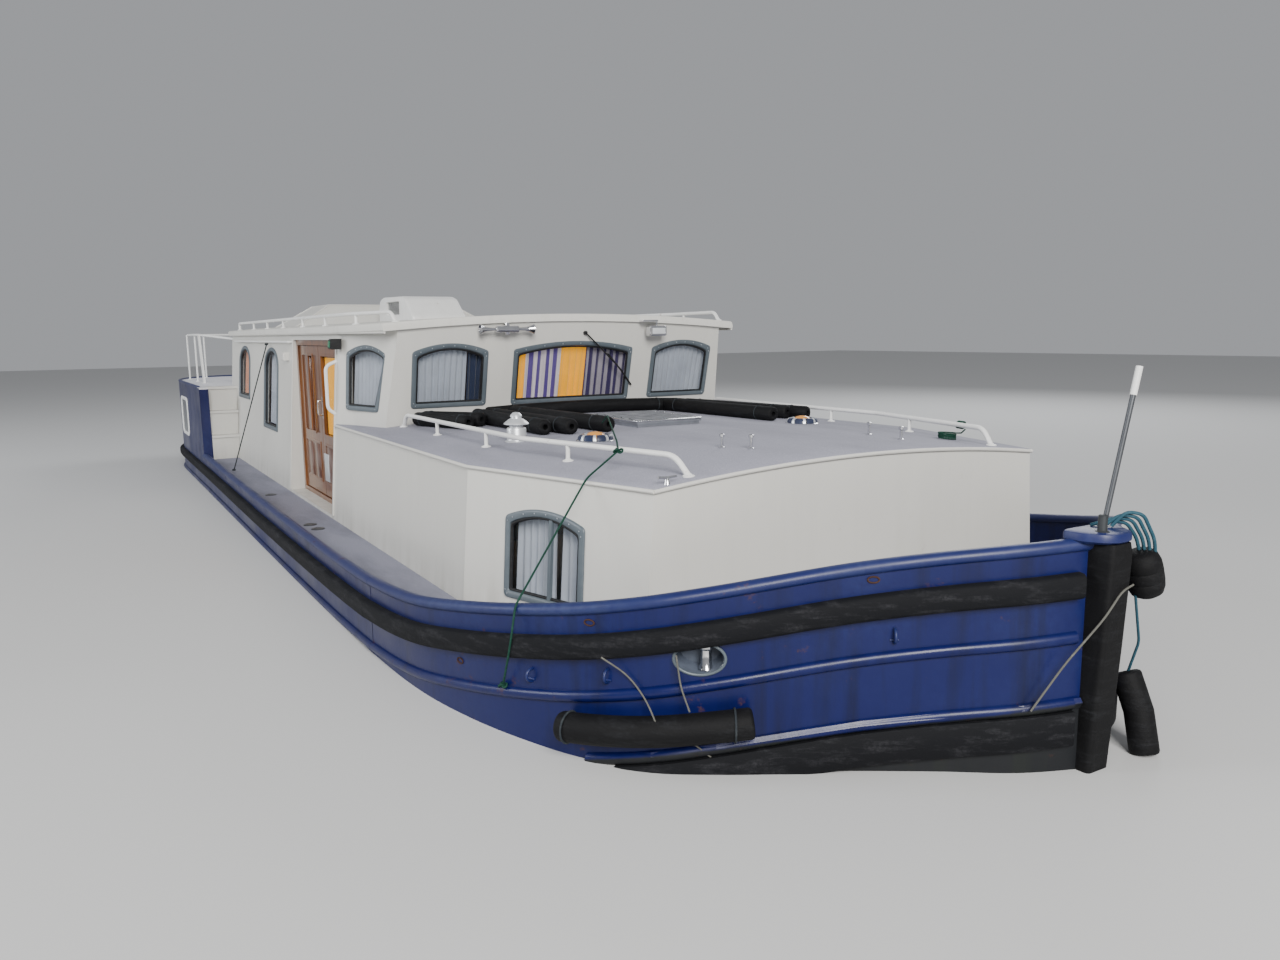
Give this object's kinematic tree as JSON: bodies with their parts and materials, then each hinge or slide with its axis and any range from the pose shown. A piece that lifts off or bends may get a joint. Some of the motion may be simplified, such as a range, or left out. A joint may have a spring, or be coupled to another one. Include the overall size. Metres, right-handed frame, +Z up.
{
  "type": "houseboat",
  "caption": "Steel barge houseboat with a blue hull, cream cabin and wheelhouse, double wooden side doors and a railed aft deck.",
  "frame": {"origin": "centre of the bounding box on the hull's flat bottom", "axes": "+X towards the bow, +Y to port, +Z up; the waterline is 0.75 m above the bottom"},
  "size_m": [14.57, 4.47, 3.042],
  "materials": {
    "hull_blue": "gloss paint, weathered, rust stains",
    "cap_blue": "satin paint, chipped",
    "cream": "satin paint",
    "roof_grey": "matt non-slip paint",
    "deck_grey": "matt non-slip paint, dirty",
    "white_paint": "gloss paint",
    "black_rubber": "matt, scuffed",
    "timber": "tarred, worn",
    "varnished_wood": "varnished",
    "frame_grey": "satin metallic paint",
    "chrome": "polished",
    "aluminium": "dull",
    "steel": "painted below the water",
    "bronze": "dull bronze",
    "floor_wood": "oiled",
    "engine_green": "painted"
  },
  "bodies": {
    "boat": {"hull": "hull_blue", "bulwark": "hull_blue", "rub_band": "timber", "upper_ledge": "hull_blue", "hung_fender": "black_rubber", "aft_deck": "white_paint", "deck_plate": "deck_grey", "cap_rail": "cap_blue", "stem_fender": "black_rubber", "aft_body": "hull_blue", "fore_cabin_front": "cream", "fore_cabin_roof": "roof_grey", "wheelhouse_front": "cream", "wheelhouse_aft_wall": "cream", "wheelhouse_roof": "cream", "cabin_floor": "floor_wood", "engine_block": "engine_green", "helm_console": "varnished_wood", "hatch_coaming": "aluminium", "flue": "white_paint", "roof_unit": "white_paint", "skylight": "cream", "horn": "chrome", "searchlight": "chrome", "aft_rail": "white_paint", "skeg": "steel", "stowed_fenders": "black_rubber", "window_front_centre": "frame_grey", "window_front_starboard": "frame_grey", "window_side_starboard": "frame_grey", "window_cabin_starboard": "frame_grey", "fore_cabin_side_starboard": "cream", "wheelhouse_side_starboard": "cream", "steps_starboard": "cream", "door_frame_starboard": "varnished_wood", "door_handle_starboard": "white_paint", "wheelhouse_rail_starboard": "white_paint", "cabin_rail_starboard": "white_paint", "window_front_port": "frame_grey", "window_side_port": "frame_grey", "window_cabin_port": "frame_grey", "fore_cabin_side_port": "cream", "wheelhouse_side_port": "cream", "steps_port": "cream", "door_frame_port": "varnished_wood", "door_handle_port": "white_paint", "wheelhouse_rail_port": "white_paint", "cabin_rail_port": "white_paint"},
    "door_fore_leaf_starboard_body": {"door_fore_leaf_starboard": "varnished_wood"},
    "door_aft_leaf_starboard_body": {"door_aft_leaf_starboard": "varnished_wood"},
    "door_fore_leaf_port_body": {"door_fore_leaf_port": "varnished_wood"},
    "door_aft_leaf_port_body": {"door_aft_leaf_port": "varnished_wood"},
    "hatch_lid_body": {"hatch_lid": "aluminium"},
    "rudder_body": {"rudder": "steel"},
    "propeller_body": {"propeller": "bronze"},
    "helm_wheel_body": {"helm_wheel": "varnished_wood"}
  },
  "joints": [
    {"name": "door_fore_starboard_swing", "type": "hinge", "parent": "boat", "child": "door_fore_leaf_starboard_body", "pos_m": [1.41, -1.59, 1.8], "axis": [0, 0, -1], "range_deg": [0, 90]},
    {"name": "door_aft_starboard_swing", "type": "hinge", "parent": "boat", "child": "door_aft_leaf_starboard_body", "pos_m": [-0.135, -1.59, 1.8], "axis": [0, 0, 1], "range_deg": [0, 90]},
    {"name": "door_fore_port_swing", "type": "hinge", "parent": "boat", "child": "door_fore_leaf_port_body", "pos_m": [1.41, 1.59, 1.8], "axis": [0, 0, 1], "range_deg": [0, 90]},
    {"name": "door_aft_port_swing", "type": "hinge", "parent": "boat", "child": "door_aft_leaf_port_body", "pos_m": [-0.135, 1.59, 1.8], "axis": [0, 0, -1], "range_deg": [0, 90]},
    {"name": "hatch_lid_swing", "type": "hinge", "parent": "boat", "child": "hatch_lid_body", "pos_m": [3.258, 0, 1.9863], "axis": [0, -1, 0], "range_deg": [0, 80]},
    {"name": "rudder_turn", "type": "hinge", "parent": "boat", "child": "rudder_body", "pos_m": [-6.9, 0, 0.34], "axis": [0, 0, 1], "range_deg": [-35, 35]},
    {"name": "propeller_turn", "type": "hinge", "parent": "boat", "child": "propeller_body", "pos_m": [-6.43, 0, 0.32], "axis": [1, 0, 0], "continuous": true},
    {"name": "helm_turn", "type": "hinge", "parent": "boat", "child": "helm_wheel_body", "pos_m": [1.28, 0, 1.67], "axis": [1, 0, 0], "range_deg": [-540, 540]}
  ],
  "couplings": [
    {"joint": "helm_turn", "follows": "rudder_turn", "ratio": 15.4}
  ]
}
